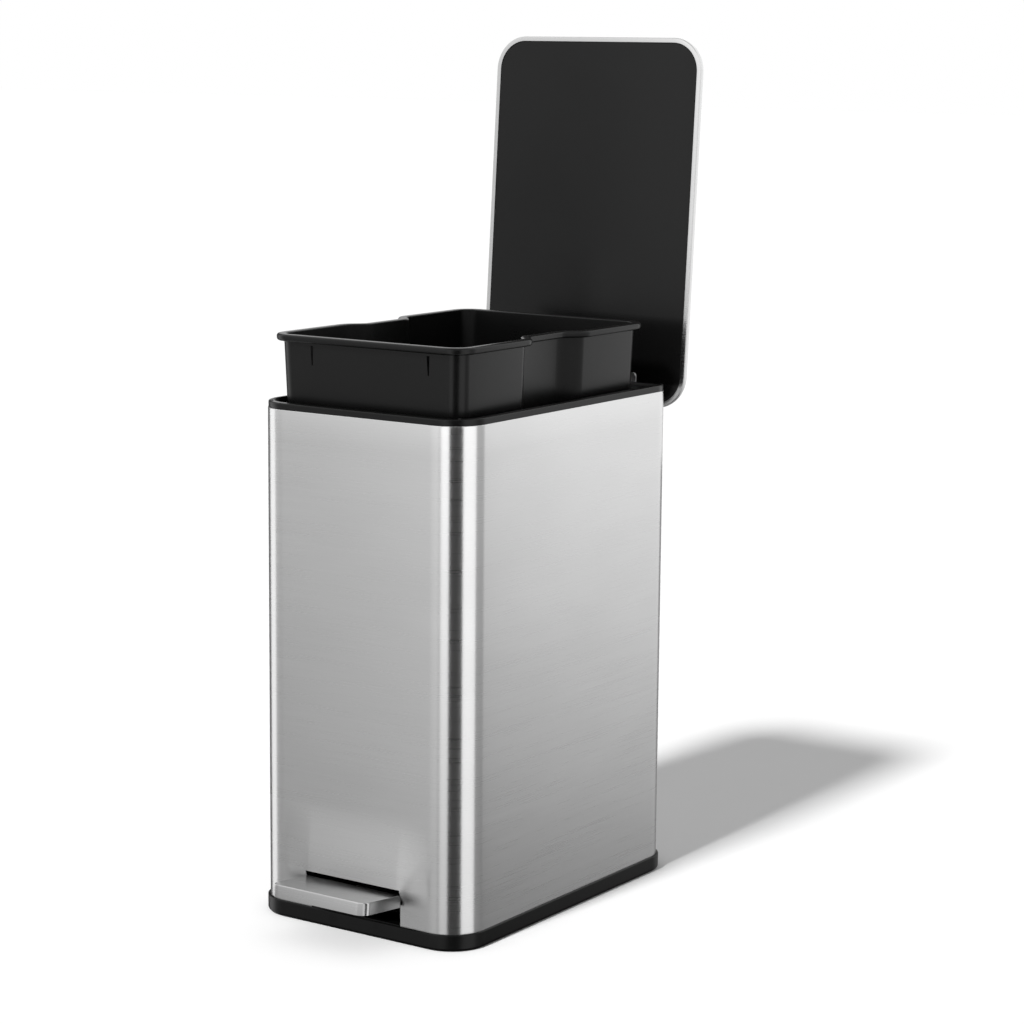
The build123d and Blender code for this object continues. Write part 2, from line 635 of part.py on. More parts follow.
core_gap = 0.1
core_half = pedal_width / 2 - pedal_skin - core_gap
pedal_side = Plane(origin=(0, axle_y, axle_z), x_dir=(0, 1, 0), z_dir=(1, 0, 0))
with BuildPart() as pedal_core:
    with BuildSketch(pedal_plane.offset(-pedal_thickness)):
        with BuildLine():
            Polyline((-core_half, 0), (-core_half, -pedal_length + 12),
                     (-core_half + 11, -pedal_length + pedal_skin + core_gap),
                     (core_half - 11, -pedal_length + pedal_skin + core_gap),
                     (core_half, -pedal_length + 12), (core_half, 0), close=True)
        make_face()
    extrude(amount=pedal_thickness - pedal_skin - core_gap)
    with BuildSketch(Plane.YZ.offset(-barrel_half)):
        with BuildLine():
            Polyline((pedal_back - 2, pedal_face_z - 9.5), (pedal_back - 2, pedal_face_z - 3.5),
                     (axle_y, axle_z + barrel_radius), (axle_y, axle_z - barrel_radius),
                     close=True)
        make_face()
        with Locations((axle_y, axle_z)):
            Circle(barrel_radius)
        with Locations((axle_y, axle_z)):
            Circle(axle_radius + running_gap, mode=Mode.SUBTRACT)
    extrude(amount=2 * barrel_half)
    with BuildSketch(Plane.YZ.offset(-lever_half_width - lever_side_gap)):
        with Locations((axle_y + barrel_radius, axle_z)):
            Rectangle(2 * barrel_radius, 4 * barrel_radius)
        with Locations((axle_y, axle_z)):
            Circle(barrel_radius + lever_side_gap)
    extrude(amount=2 * (lever_half_width + lever_side_gap), mode=Mode.SUBTRACT)
write(pedal_core.part, "pedal_core")

# Long lever under the bucket: a steel channel, laid out on its own plane through the axle
rest_slope = math.radians(lever_rest_slope)
lever_plane = Plane(origin=(0, axle_y, axle_z), x_dir=(1, 0, 0),
                    z_dir=(0, -math.sin(rest_slope), math.cos(rest_slope)))
lever_side = Plane(origin=lever_plane.origin, x_dir=lever_plane.y_dir, z_dir=(1, 0, 0))
lever_length = lever_arm + 8.0
with BuildPart() as pedal_lever:
    with BuildSketch(lever_side.offset(-lever_half_width)):
        with BuildLine():
            Polyline((0, -lever_depth + lever_top), (lever_length, -lever_depth + lever_top),
                     (lever_length, lever_top), (0, lever_top + 3), close=True)
        make_face()
        Circle(6.0)
    extrude(amount=2 * lever_half_width)
    with BuildSketch(lever_side.offset(-lever_half_width + lever_wall)):
        with BuildLine():
            Polyline((9, -lever_depth), (lever_length - 3, -lever_depth),
                     (lever_length - 3, lever_top - lever_wall), (9, lever_top + 3 - lever_wall), close=True)
        make_face()
    extrude(amount=2 * (lever_half_width - lever_wall), mode=Mode.SUBTRACT)
    with BuildSketch(lever_side.offset(-lever_half_width)):
        Circle(axle_radius + running_gap)
    extrude(amount=2 * lever_half_width, mode=Mode.SUBTRACT)
write(pedal_lever.part, "pedal_lever")

# Pad on the floor tray under the rear end of the lever
with BuildPart() as pedal_stop_pad:
    with Locations((0, rod_y - 4, base_floor)):
        Cylinder(7.0, 1.2, align=(Align.CENTER, Align.CENTER, Align.MIN))
write(pedal_stop_pad.part, "pedal_stop_pad")

# Inner bucket: drafted walls, drawn in on each side as a waist for the hands
slant_length = math.hypot(waist_run, waist_depth)
slant_shift = (slant_length - waist_run) / waist_depth


def bucket_outline(inset):
    half_x = wall_width / 2 - inset
    half_y = wall_depth / 2 - inset
    waist_x = half_x - waist_depth
    waist_near = waist_length / 2 + inset * slant_shift
    waist_far = waist_near + waist_run
    beyond = waist_far + waist_run
    with BuildSketch(mode=Mode.PRIVATE) as outline:
        RectangleRounded(2 * half_x, 2 * half_y, max(bucket_corner - rim_overhang - inset, 4.0))
        for side in (-1, 1):
            with BuildLine():
                Polyline((side * (half_x + waist_depth), -beyond), (side * waist_x, -waist_near),
                         (side * waist_x, waist_near), (side * (half_x + waist_depth), beyond), close=True)
            make_face(mode=Mode.SUBTRACT)
        middle = outline.vertices().filter_by(lambda v: abs(v.Y) < waist_far + 0.1)
        inner = middle.filter_by(lambda v: abs(v.X) < waist_x + 0.1)
        outer = middle.filter_by(lambda v: abs(v.X) > half_x - 0.1)
        fillet(inner, radius=waist_inner_round + inset / 2)
        fillet(outer, radius=waist_outer_round - inset / 4)
    return outline.sketch


draft_slope = math.tan(math.radians(bucket_draft))
rim_bottom = rim_top - rim_height
walls_height = rim_bottom - bucket_bottom
floor_plane = Plane((0, bucket_y, bucket_bottom))
inner_floor_plane = Plane((0, bucket_y, bucket_bottom + bucket_wall))
rim_bottom_plane = Plane((0, bucket_y, rim_bottom))
rim_plane = Plane((0, bucket_y, rim_top))
with BuildPart() as bucket:
    with BuildSketch(floor_plane):
        add(bucket_outline(bucket_height * draft_slope))
    with BuildSketch(rim_bottom_plane):
        add(bucket_outline(rim_height * draft_slope))
    loft(ruled=True)
    with BuildSketch(inner_floor_plane):
        add(bucket_outline((bucket_height - bucket_wall) * draft_slope + bucket_wall))
    with BuildSketch(rim_bottom_plane):
        add(bucket_outline(rim_height * draft_slope + bucket_wall))
    loft(ruled=True, mode=Mode.SUBTRACT)
write(bucket.part, "bucket")

# Rolled rim on the bucket's walls, with its crest a little inside the outer edge
with BuildPart() as bucket_rim:
    with BuildSketch(rim_bottom_plane):
        add(bucket_outline(-rim_overhang))
    extrude(amount=rim_height)
    fillet(bucket_rim.faces().sort_by(Axis.Z)[-1].edges(), radius=rim_crest_round)
    with BuildSketch(rim_bottom_plane):
        add(bucket_outline(rim_height * draft_slope + bucket_wall))
    with BuildSketch(rim_plane):
        add(bucket_outline(bucket_wall))
    loft(ruled=True, mode=Mode.SUBTRACT)
write(bucket_rim.part, "bucket_rim")

# Rivets between the pedal's core and the lever
with BuildPart() as pedal_rivets:
    for x in (-7.0, 7.0):
        with BuildSketch(pedal_plane.offset(-pedal_thickness - 1.2)):
            with Locations((x * 3, -pedal_length / 2)):
                Circle(3.0)
        extrude(amount=1.2)
write(pedal_rivets.part, "pedal_rivets")
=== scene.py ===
# %% [markdown]
# A slim step trash can, photographed with its lid open and its inner bucket lifted.
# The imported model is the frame: every piece below sits on it, in metres, with +Z up and the user at -Y.

# %% Load the frame
import json
import math
import bmesh
import bpy
from mathutils import Matrix, Vector


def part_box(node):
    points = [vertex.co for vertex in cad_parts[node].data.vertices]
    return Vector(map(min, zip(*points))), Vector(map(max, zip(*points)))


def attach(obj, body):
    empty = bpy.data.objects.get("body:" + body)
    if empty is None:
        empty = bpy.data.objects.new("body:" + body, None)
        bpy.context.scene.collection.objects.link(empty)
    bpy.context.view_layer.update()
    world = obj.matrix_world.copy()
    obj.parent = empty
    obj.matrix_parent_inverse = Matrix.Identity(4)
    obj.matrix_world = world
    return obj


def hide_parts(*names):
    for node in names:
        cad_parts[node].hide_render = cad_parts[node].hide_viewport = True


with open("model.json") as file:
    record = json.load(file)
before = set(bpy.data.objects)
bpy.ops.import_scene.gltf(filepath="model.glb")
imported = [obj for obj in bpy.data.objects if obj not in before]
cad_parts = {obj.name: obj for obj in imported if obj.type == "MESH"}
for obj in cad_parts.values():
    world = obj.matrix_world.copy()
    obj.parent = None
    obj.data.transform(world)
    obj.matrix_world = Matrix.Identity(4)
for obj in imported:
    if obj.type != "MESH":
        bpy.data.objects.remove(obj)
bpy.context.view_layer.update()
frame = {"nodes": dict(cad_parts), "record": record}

MM = 0.001

# %% [markdown]
# The camera stands where the photographer's did: 34.4 degrees round to the right and 9.6 degrees up,
# 2.3 m away with a long lens, so the upright edges stay almost parallel.

# %% Camera
YAW, PITCH, ROLL = math.radians(34.388), math.radians(9.606), math.radians(0.486)
AIM_HEIGHT = 0.200
DISTANCE = 2.29453
SLIDE_RIGHT, SLIDE_UP = -0.033983, -0.106725
LENS = 100.70


def place_camera():
    back = Vector((math.sin(YAW) * math.cos(PITCH), -math.cos(YAW) * math.cos(PITCH), math.sin(PITCH)))
    right = (-back).cross(Vector((0, 0, 1))).normalized()
    up = right.cross(-back)
    rolled_right = right * math.cos(ROLL) + up * math.sin(ROLL)
    rolled_up = up * math.cos(ROLL) - right * math.sin(ROLL)
    spot = Vector((0, 0, AIM_HEIGHT)) - rolled_right * SLIDE_RIGHT - rolled_up * SLIDE_UP + back * DISTANCE
    turn = Matrix((rolled_right, rolled_up, back)).transposed().to_4x4()
    data = bpy.data.cameras.new("camera")
    data.lens = LENS
    data.sensor_width = 36
    data.clip_end = 50
    camera = bpy.data.objects.new("camera", data)
    camera.matrix_world = Matrix.Translation(spot) @ turn
    bpy.context.scene.collection.objects.link(camera)
    bpy.context.scene.camera = camera


place_camera()
bpy.context.scene.view_settings.view_transform = "Standard"

# %% [markdown]
# A few helpers do by name what a hand does in edit mode: add a block, select its edges or faces by place,
# bevel them, and leave the finished mesh at the origin. HAIR and TOUCH are how near counts as the same place.

# %% Modelling helpers
HAIR = 0.01 * MM
TOUCH = 0.1 * MM
SHARP_ANGLE = math.radians(35)


def add_block(name, low, high):
    bpy.ops.object.select_all(action="DESELECT")
    centre = [(low[k] + high[k]) / 2 for k in range(3)]
    bpy.ops.mesh.primitive_cube_add(size=1, location=centre)
    block = bpy.context.object
    block.name = name
    block.scale = [high[k] - low[k] for k in range(3)]
    bpy.ops.object.transform_apply(location=True, rotation=True, scale=True)
    return block


def open_edit(piece, mode="EDGE"):
    make_active(piece)
    bpy.ops.object.mode_set(mode="EDIT")
    bpy.ops.mesh.select_mode(type=mode)


def close_edit():
    bpy.ops.object.mode_set(mode="OBJECT")


def pick(piece, kind, test):
    """Selects the edges or faces of the piece, in edit mode, whose test is true, and counts them."""
    mesh = bmesh.from_edit_mesh(piece.data)
    for part in (mesh.faces, mesh.edges, mesh.verts):
        for item in part:
            item.select = False
    chosen = [item for item in getattr(mesh, kind) if test(item)]
    for item in chosen:
        item.select_set(True)
    bmesh.update_edit_mesh(piece.data)
    return len(chosen)


def middle(item):
    return sum((v.co for v in item.verts), Vector()) / len(item.verts)


def is_upright(edge):
    along = (edge.verts[0].co - edge.verts[1].co).normalized()
    return abs(along.z) > 0.95


def is_wall(face):
    return abs(face.normal.z) < 0.1


def is_level(edge, height):
    return all(abs(v.co.z - height) < HAIR for v in edge.verts)


def round_edges(piece, test, radius, steps):
    open_edit(piece)
    if pick(piece, "edges", test):
        bpy.ops.mesh.bevel(offset=radius, segments=steps, affect="EDGES", clamp_overlap=True)
    close_edit()


def cut(piece, point, normal):
    open_edit(piece)
    bpy.ops.mesh.select_all(action="SELECT")
    bpy.ops.mesh.bisect(plane_co=point, plane_no=normal)
    close_edit()


def drop_faces(piece, test):
    open_edit(piece, "FACE")
    pick(piece, "faces", test)
    bpy.ops.mesh.delete(type="FACE")
    close_edit()


def hollow_from_below(piece, border, depth):
    """Insets the underside and pushes it up, so that a tray or cap with the given border is left."""
    open_edit(piece, "FACE")
    pick(piece, "faces", lambda face: face.normal.z < -0.9)
    bpy.ops.mesh.inset(thickness=border)
    bpy.ops.mesh.extrude_region_move(TRANSFORM_OT_translate={"value": (0, 0, depth)})
    close_edit()


def apply_modifier(piece, kind, **settings):
    modifier = piece.modifiers.new(kind.lower(), kind)
    for key, value in settings.items():
        setattr(modifier, key, value)
    make_active(piece)
    bpy.ops.object.modifier_apply(modifier=modifier.name)


def make_active(piece):
    bpy.ops.object.select_all(action="DESELECT")
    piece.select_set(True)
    bpy.context.view_layer.objects.active = piece


def tilt_into_place(piece, angle, spot):
    """Turns the piece backwards about its X axis and moves its mesh to the spot. Its origin stays at 0, 0, 0."""
    piece.rotation_euler = (-angle, 0, 0)
    piece.location = spot
    make_active(piece)
    bpy.ops.object.transform_apply(location=True, rotation=True, scale=True)


def finish_piece(piece, material, body, slot, *nodes):
    """Smooths the piece up to its sharp edges, gives it its material and its body, and hides the frame's nodes
    that it stands in for. The slot is not used.
    """
    make_active(piece)
    bpy.ops.object.shade_smooth_by_angle(angle=SHARP_ANGLE)
    piece.data.materials.clear()
    piece.data.materials.append(material)
    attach(piece, body)
    if nodes:
        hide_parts(*nodes)
    print(piece.name, len(piece.data.polygons), "faces")
    return piece


# %% [markdown]
# Shader groups. One group draws the brushing: long fine streaks across the sheet, made by noise that is
# stretched far along one direction. Another gives moulded plastic its faint unevenness.

# %% Shader groups
def new_group(name, inputs, outputs):
    group = bpy.data.node_groups.new(name, "ShaderNodeTree")
    for label, kind, value in inputs:
        socket = group.interface.new_socket(label, in_out="INPUT", socket_type=kind)
        if value is not None:
            socket.default_value = value
    for label, kind in outputs:
        group.interface.new_socket(label, in_out="OUTPUT", socket_type=kind)
    return group, group.nodes.new("NodeGroupInput"), group.nodes.new("NodeGroupOutput")


def math_node(tree, operation, first, second):
    node = tree.nodes.new("ShaderNodeMath")
    node.operation = operation
    for index, value in enumerate((first, second)):
        if isinstance(value, (int, float)):
            node.inputs[index].default_value = value
        else:
            tree.links.new(value, node.inputs[index])
    return node.outputs[0]


def stretched_noise(tree, vector, scale, detail):
    mapping = tree.nodes.new("ShaderNodeMapping")
    mapping.inputs["Scale"].default_value = scale
    tree.links.new(vector, mapping.inputs["Vector"])
    noise = tree.nodes.new("ShaderNodeTexNoise")
    noise.inputs["Scale"].default_value = 1.0
    noise.inputs["Detail"].default_value = detail
    tree.links.new(mapping.outputs[0], noise.inputs["Vector"])
    return noise.outputs["Fac"]


FINE_STREAKS, BROAD_STREAKS, CLOUDS = (18, 18, 2600), (7, 7, 260), (9, 9, 22)
FINE_SHARE = 0.6
CLOUD_SHADE = 0.10
STREAK_ROUGHNESS = 0.25
PATCHES = (14, 14, 14)
PATCH_SHADE = 0.5
PATCH_ROUGHNESS = 0.12


def swing(tree, value, share):
    """Makes of a noise between 0 and 1 a swing about 0 of the given share."""
    return math_node(tree, "MULTIPLY", math_node(tree, "SUBTRACT", value, 0.5), share)


def tint(tree, base, level):
    scale = tree.nodes.new("ShaderNodeVectorMath")
    scale.operation = "SCALE"
    tree.links.new(base, scale.inputs[0])
    tree.links.new(level, scale.inputs["Scale"])
    return scale.outputs[0]


def make_brushing_group():
    inputs = [("Vector", "NodeSocketVector", None), ("Streak", "NodeSocketFloat", 0.06),
              ("Base", "NodeSocketColor", (0.6, 0.6, 0.6, 1)), ("Roughness", "NodeSocketFloat", 0.3)]
    outputs = [("Color", "NodeSocketColor"), ("Roughness", "NodeSocketFloat"), ("Height", "NodeSocketFloat")]
    group, start, end = new_group("brushing", inputs, outputs)
    vector = start.outputs["Vector"]
    fine = stretched_noise(group, vector, FINE_STREAKS, 4)
    broad = stretched_noise(group, vector, BROAD_STREAKS, 3)
    cloud = stretched_noise(group, vector, CLOUDS, 2)
    streaks = math_node(group, "ADD", math_node(group, "MULTIPLY", fine, FINE_SHARE),
                        math_node(group, "MULTIPLY", broad, 1 - FINE_SHARE))
    shade = math_node(group, "ADD", swing(group, streaks, start.outputs["Streak"]), 1.0)
    level = math_node(group, "ADD", shade, swing(group, cloud, CLOUD_SHADE))
    group.links.new(tint(group, start.outputs["Base"], level), end.inputs["Color"])
    rough = math_node(group, "ADD", start.outputs["Roughness"], swing(group, streaks, STREAK_ROUGHNESS))
    group.links.new(rough, end.inputs["Roughness"])
    group.links.new(streaks, end.inputs["Height"])
    return group


def make_moulding_group():
    inputs = [("Vector", "NodeSocketVector", None), ("Grain", "NodeSocketFloat", 2200.0),
              ("Base", "NodeSocketColor", (0.02, 0.02, 0.02, 1)), ("Roughness", "NodeSocketFloat", 0.4)]
    outputs = [("Color", "NodeSocketColor"), ("Roughness", "NodeSocketFloat"), ("Height", "NodeSocketFloat")]
    group, start, end = new_group("moulding", inputs, outputs)
    grain = group.nodes.new("ShaderNodeTexNoise")
    group.links.new(start.outputs["Vector"], grain.inputs["Vector"])
    group.links.new(start.outputs["Grain"], grain.inputs["Scale"])
    grain.inputs["Detail"].default_value = 3
    patch = stretched_noise(group, start.outputs["Vector"], PATCHES, 3)
    level = math_node(group, "ADD", swing(group, patch, PATCH_SHADE), 1.0)
    group.links.new(tint(group, start.outputs["Base"], level), end.inputs["Color"])
    rough = math_node(group, "ADD", start.outputs["Roughness"], swing(group, patch, PATCH_ROUGHNESS))
    group.links.new(rough, end.inputs["Roughness"])
    group.links.new(grain.outputs["Fac"], end.inputs["Height"])
    return group


BRUSHING = make_brushing_group()
MOULDING = make_moulding_group()


def new_material(name, group, settings, metallic, bump):
    """One Principled shader fed by a finish group, with the group's height as a fine bump."""
    material = bpy.data.materials.new(name)
    material.use_nodes = True
    tree = material.node_tree
    shader = tree.nodes["Principled BSDF"]
    shader.inputs["Metallic"].default_value = metallic
    place = tree.nodes.new("ShaderNodeTexCoord")
    finish = tree.nodes.new("ShaderNodeGroup")
    finish.node_tree = group
    tree.links.new(place.outputs["Object"], finish.inputs["Vector"])
    for key, value in settings.items():
        finish.inputs[key].default_value = value
    relief = tree.nodes.new("ShaderNodeBump")
    relief.inputs["Strength"].default_value = bump[0]
    relief.inputs["Distance"].default_value = bump[1]
    tree.links.new(finish.outputs["Height"], relief.inputs["Height"])
    tree.links.new(finish.outputs["Color"], shader.inputs["Base Color"])
    tree.links.new(finish.outputs["Roughness"], shader.inputs["Roughness"])
    tree.links.new(relief.outputs[0], shader.inputs["Normal"])
    return material, shader


def grey(value):
    return (value, value, value, 1)


# %% [markdown]
# Brushed steel is a metal whose highlight is drawn out across the brushing, so the shader's own
# anisotropy is on and its tangent stands upright, square to the streaks.

# %% Steel
STEEL_BUMP = (0.02, 0.04 * MM)


def make_steel(name, base, roughness, streak, anisotropy):
    settings = {"Base": grey(base), "Roughness": roughness, "Streak": streak}
    material, shader = new_material(name, BRUSHING, settings, 1.0, STEEL_BUMP)
    shader.inputs["Anisotropic"].default_value = anisotropy
    tree = material.node_tree
    upright = tree.nodes.new("ShaderNodeCombineXYZ")
    upright.inputs["Z"].default_value = 1.0
    turn_with_piece = tree.nodes.new("ShaderNodeVectorTransform")
    turn_with_piece.vector_type = "VECTOR"
    turn_with_piece.convert_from = "OBJECT"
    turn_with_piece.convert_to = "WORLD"
    tree.links.new(upright.outputs[0], turn_with_piece.inputs[0])
    tree.links.new(turn_with_piece.outputs[0], shader.inputs["Tangent"])
    return material


BODY_STEEL = make_steel("body_steel", 0.62, 0.30, 0.16, 0.85)
LID_STEEL = make_steel("lid_steel", 0.60, 0.25, 0.12, 0.6)
PEDAL_STEEL = make_steel("pedal_steel", 0.53, 0.24, 0.10, 0.5)
BRIGHT_METAL = make_steel("bright_metal", 0.72, 0.16, 0.06, 0.0)
ZINC_PLATE = make_steel("zinc_plate", 0.55, 0.34, 0.05, 0.0)


# %% Plastic and rubber
PLASTIC_SPECULAR = 0.22
GRAIN_DEPTH = 0.08 * MM


def make_plastic(name, base, roughness, grain=2200.0, relief=0.12):
    settings = {"Base": grey(base), "Roughness": roughness, "Grain": grain}
    material, shader = new_material(name, MOULDING, settings, 0.0, (relief, GRAIN_DEPTH))
    shader.inputs["Specular IOR Level"].default_value = PLASTIC_SPECULAR
    return material


BLACK_PLASTIC = make_plastic("black_plastic", 0.0025, 0.32)
BUCKET_PLASTIC = make_plastic("bucket_plastic", 0.0022, 0.30)
LID_PANEL = make_plastic("lid_panel_black", 0.003, 0.24)
GREY_PLASTIC = make_plastic("grey_plastic", 0.22, 0.45)
PAD_RUBBER = make_plastic("pad_rubber", 0.02, 0.75, 900.0, 0.3)

# %% [markdown]
# The frame's own pieces keep their shape. A weld joins their loose triangles, and weighted normals shade
# flat faces flat and round ones round.

# %% Finish on the frame's nodes
FINISHES = {
    "body_steel": BODY_STEEL, "lid_steel": LID_STEEL, "pedal_steel": PEDAL_STEEL, "bright_metal": BRIGHT_METAL,
    "zinc_plate": ZINC_PLATE, "black_plastic": BLACK_PLASTIC, "bucket_plastic": BUCKET_PLASTIC,
    "lid_panel_black": LID_PANEL, "grey_plastic": GREY_PLASTIC, "pad_rubber": PAD_RUBBER}


WELD_REACH = 0.02 * MM
NORMAL_WEIGHT, NORMAL_THRESHOLD = 90, 0.0001


def dress_nodes():
    for row in frame["record"]["subparts"]:
        node = frame["nodes"][row["node"]]
        node.data.materials.clear()
        node.data.materials.append(FINISHES[row["material_slot"]])
        for face in node.data.polygons:
            face.use_smooth = True
        node.modifiers.new("weld", "WELD").merge_threshold = WELD_REACH
        normals = node.modifiers.new("normals", "WEIGHTED_NORMAL")
        normals.weight = NORMAL_WEIGHT
        normals.thresh = NORMAL_THRESHOLD


dress_nodes()

# %% [markdown]
# The sleeve is one sheet of steel, bent round the four corners. It starts as a block whose upright edges
# are bevelled, loses its top and bottom, and is pressed outwards over the pedal as the real sheet is.

# %% Sleeve
PLINTH_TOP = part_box("body_shell")[0][2]
BODY_HALF_X, BODY_HALF_Y, BODY_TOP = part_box("body_shell")[1]
BODY_CORNER = 29 * MM
CORNER_STEPS = 20
STEEL_WALL = 0.8 * MM
HOOD_PROUD = 4.8 * MM
HOOD_LIP_Z = 42.8 * MM
HOOD_TOP_Z = 98 * MM
HOOD_BOTTOM_Z = 30 * MM
HOOD_FLAT_HALF = 42 * MM
HOOD_FOOT_HALF = 69 * MM
HOOD_BLEND = 0.12
HOOD_ROW, HOOD_ROWS = 2 * MM, 37
HOOD_COLUMN, HOOD_SIDE_COLUMNS = 3 * MM, 22
MOUTH_HALF = 45 * MM
CUTOUT_HALF = 43 * MM
NOTCH_HALF = 66 * MM
SLEEVE_EDGE = 0.6 * MM
NOTCH_BOTTOM = 377.9 * MM


def ease(value):
    value = min(max(value, 0.0), 1.0)
    return value * value * (3 - 2 * value)


def straight_with_round_ends(share):
    """Runs evenly from 0 to 1, but starts and stops softly, so the bends into the flat sheet are rounded."""
    bend = HOOD_BLEND
    slope = 1 / (1 - bend)
    if share < bend:
        return slope * share * share / (2 * bend)
    if share > 1 - bend:
        return 1 - slope * (1 - share) * (1 - share) / (2 * bend)
    return slope * (share - bend / 2)


def hood_swell(x, z):
    """How far the pressed hood stands out of the wall: full along the lip, dying out upwards and sideways."""
    aside = min(max((abs(x) - HOOD_FLAT_HALF) / (HOOD_FOOT_HALF - HOOD_FLAT_HALF), 0.0), 1.0)
    along = 1 - straight_with_round_ends(aside)
    if z >= HOOD_LIP_Z:
        return HOOD_PROUD * along * ease((HOOD_TOP_Z - z) / (HOOD_TOP_Z - HOOD_LIP_Z))
    return HOOD_PROUD * along * ease((z - HOOD_BOTTOM_Z) / (HOOD_LIP_Z - HOOD_BOTTOM_Z))


def is_cutout(face):
    """The faces that the pedal's opening, the hood's mouth and the hinge's notch take away."""
    spot = middle(face)
    front = spot.y < -BODY_HALF_Y + TOUCH
    low = front and abs(spot.x) < CUTOUT_HALF and spot.z < HOOD_LIP_Z
    mouth = front and abs(spot.x) < MOUTH_HALF and HOOD_BOTTOM_Z < spot.z < HOOD_LIP_Z
    notch = spot.y > BODY_HALF_Y - TOUCH and abs(spot.x) < NOTCH_HALF and spot.z > NOTCH_BOTTOM
    return low or mouth or notch


def is_top_outer(edge):
    """The outer of the two loops round the sleeve's cut top edge."""
    walls = [face for face in edge.link_faces if is_wall(face)]
    if not is_level(edge, BODY_TOP) or not walls:
        return False
    spot = middle(edge)
    return walls[0].normal.x * spot.x + walls[0].normal.y * spot.y > 0


def make_sleeve():
    sleeve = add_block("sleeve", (-BODY_HALF_X, -BODY_HALF_Y, PLINTH_TOP),
                       (BODY_HALF_X, BODY_HALF_Y, BODY_TOP))
    round_edges(sleeve, is_upright, BODY_CORNER, CORNER_STEPS)
    drop_faces(sleeve, lambda face: not is_wall(face))
    levels = [HOOD_BOTTOM_Z + (k - 1) * HOOD_ROW for k in range(HOOD_ROWS)]
    for level in levels + [HOOD_LIP_Z, NOTCH_BOTTOM]:
        cut(sleeve, (0, 0, level), (0, 0, 1))
    columns = [k * HOOD_COLUMN for k in range(-HOOD_SIDE_COLUMNS, HOOD_SIDE_COLUMNS + 1)]
    for half in (HOOD_FOOT_HALF, CUTOUT_HALF, MOUTH_HALF, NOTCH_HALF):
        columns += [-half, half]
    for column in columns:
        cut(sleeve, (column, 0, 0), (1, 0, 0))
    drop_faces(sleeve, is_cutout)
    for vertex in sleeve.data.vertices:
        if vertex.co.y < -BODY_HALF_Y + TOUCH:
            vertex.co.y -= hood_swell(vertex.co.x, vertex.co.z)
    apply_modifier(sleeve, "SOLIDIFY", thickness=STEEL_WALL, offset=-1)
    round_edges(sleeve, is_top_outer, SLEEVE_EDGE, 3)
    finish_piece(sleeve, BODY_STEEL, "can", "body_steel", "body_shell")


make_sleeve()

# %% [markdown]
# The lid is made lying on the hinge's own axes, as if shut, and is then swung open about the hinge.
# Its skin is a shallow tray of steel with a bright border, and the black panel lies in the tray.

# %% Lid
HINGE = frame["record"]["behaviour"]["joints"][0]["pos_m"]
LID_OPEN = math.radians(94.0)
LID_HALF_X = 99.85 * MM
LID_FRONT, LID_BACK = -293.0 * MM, 7.6 * MM
LID_UNDER = 15.6 * MM
LID_THICK = 5 * MM
LID_CORNER = 27.3 * MM
LID_BORDER = 3.8 * MM
LID_SHEET = 0.8 * MM
LID_TOP_ROUND = 1.6 * MM
LID_EDGE_ROUND = 0.8 * MM
PANEL_RECESS = 0.4 * MM
PANEL_GAP = LID_BORDER + 0.2 * MM


def is_outer_side(edge):
    """True where the wall that meets the edge looks away from the lid's middle."""
    centre = Vector((0, (LID_FRONT + LID_BACK) / 2, 0))
    for face in edge.link_faces:
        if is_wall(face):
            outward = middle(face) - centre
            return face.normal.x * outward.x + face.normal.y * outward.y > 0
    return False


def make_lid_skin():
    top = LID_UNDER + LID_THICK
    skin = add_block("lid_skin", (-LID_HALF_X, LID_FRONT, LID_UNDER), (LID_HALF_X, LID_BACK, top))
    round_edges(skin, is_upright, LID_CORNER, CORNER_STEPS)
    hollow_from_below(skin, LID_BORDER, LID_THICK - LID_SHEET)
    round_edges(skin, lambda edge: is_level(edge, top) and is_outer_side(edge), LID_TOP_ROUND, 4)
    round_edges(skin, lambda edge: is_level(edge, LID_UNDER) and is_outer_side(edge), LID_EDGE_ROUND, 3)
    tilt_into_place(skin, LID_OPEN, HINGE)
    finish_piece(skin, LID_STEEL, "lid", "lid_steel", "lid_cover")


def make_lid_panel():
    panel = add_block("lid_panel", (-LID_HALF_X + PANEL_GAP, LID_FRONT + PANEL_GAP, LID_UNDER + PANEL_RECESS),
                      (LID_HALF_X - PANEL_GAP, LID_BACK - PANEL_GAP, LID_UNDER + LID_THICK - LID_SHEET))
    round_edges(panel, is_upright, LID_CORNER - PANEL_GAP, CORNER_STEPS)
    round_edges(panel, lambda edge: is_level(edge, LID_UNDER + PANEL_RECESS)
                and any(map(is_wall, edge.link_faces)), LID_EDGE_ROUND, 3)
    tilt_into_place(panel, LID_OPEN, HINGE)
    finish_piece(panel, LID_PANEL, "lid", "lid_panel_black", "lid_inner_panel")


make_lid_skin()
make_lid_panel()

# %% [markdown]
# The bucket is a deep drafted box with a waist on each side for the hands. Cuts across the block make the
# waist's corners and the middle is drawn in. The rim is a second band of the same outline, thickened
# outwards, and two thin slits for the liner are cut in the front wall.

